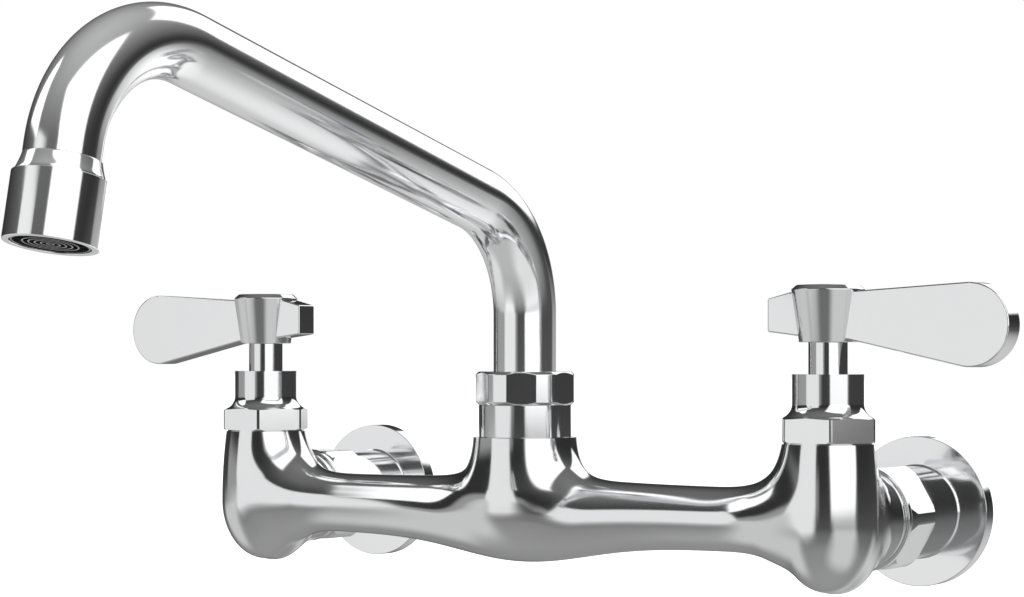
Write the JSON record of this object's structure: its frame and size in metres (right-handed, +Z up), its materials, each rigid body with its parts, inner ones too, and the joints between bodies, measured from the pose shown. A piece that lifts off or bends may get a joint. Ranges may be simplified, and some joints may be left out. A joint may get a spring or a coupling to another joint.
{
  "type": "wall faucet",
  "caption": "Wall-mounted commercial faucet in polished chrome: two lever-handled quarter-turn valves on a cast body, with a rising tubular spout that swings and ends in an aerator.",
  "frame": {"origin": "midway between the two tapped inlets, in the plane of the wall", "axes": "the wall is the plane y = 0 and +Y points into it, so the faucet stands out towards -Y; +X is to the right for a person who faces the wall; +Z is up"},
  "size_m": [0.3134, 0.2721, 0.1561],
  "materials": {
    "body_chrome": "polished chrome plate on a cast brass body",
    "spout_chrome": "polished chrome plate on drawn brass tube",
    "fitting_chrome": "polished chrome plate on turned brass",
    "handle_chrome": "polished chrome plate",
    "brass": "machined brass",
    "steel": "stainless steel",
    "ceramic": null,
    "rubber": "black nitrile rubber",
    "nylon": "natural acetal",
    "insert_plastic": "grey acetal",
    "hot_index": "red plastic",
    "cold_index": "blue plastic"
  },
  "bodies": {
    "root": {"faucet_body": "body_chrome", "left_wall_flange": "fitting_chrome", "right_wall_flange": "fitting_chrome", "left_coupling_nut": "fitting_chrome", "right_coupling_nut": "fitting_chrome", "left_inlet_tail": "brass", "right_inlet_tail": "brass", "left_inlet_washer": "rubber", "right_inlet_washer": "rubber", "left_bonnet": "fitting_chrome", "right_bonnet": "fitting_chrome", "left_cartridge_body": "brass", "right_cartridge_body": "brass", "left_cartridge_ring": "rubber", "right_cartridge_ring": "rubber", "left_seat_seal": "rubber", "right_seat_seal": "rubber", "left_fixed_disc": "ceramic", "right_fixed_disc": "ceramic", "spout_socket": "fitting_chrome", "spout_nut": "fitting_chrome", "glide_ring": "nylon"},
    "left_lever": {"left_handle": "handle_chrome", "left_spindle": "handle_chrome", "left_turning_disc": "ceramic", "left_spindle_rings": "rubber", "left_spindle_clip": "steel", "left_handle_screw": "steel", "left_index_button": "hot_index"},
    "right_lever": {"right_handle": "handle_chrome", "right_spindle": "handle_chrome", "right_turning_disc": "ceramic", "right_spindle_rings": "rubber", "right_spindle_clip": "steel", "right_handle_screw": "steel", "right_index_button": "cold_index"},
    "spout": {"spout_tube": "spout_chrome", "swivel_sleeve": "brass", "spout_rings": "rubber", "outlet_ferrule": "fitting_chrome", "aerator_housing": "fitting_chrome", "aerator_gasket": "rubber", "aerator_screen": "steel", "aerator_insert": "insert_plastic"}
  },
  "joints": [
    {"name": "left_lever_turn", "type": "hinge", "parent": "root", "child": "left_lever", "pos_m": [-0.1016, -0.0625, 0], "axis": [0, 0, 1], "range_deg": [0, 90]},
    {"name": "right_lever_turn", "type": "hinge", "parent": "root", "child": "right_lever", "pos_m": [0.1016, -0.0625, 0], "axis": [0, 0, 1], "range_deg": [-90, 0]},
    {"name": "spout_swing", "type": "hinge", "parent": "root", "child": "spout", "pos_m": [0, -0.0625, 0], "axis": [0, 0, 1], "range_deg": [-90, 90]}
  ]
}
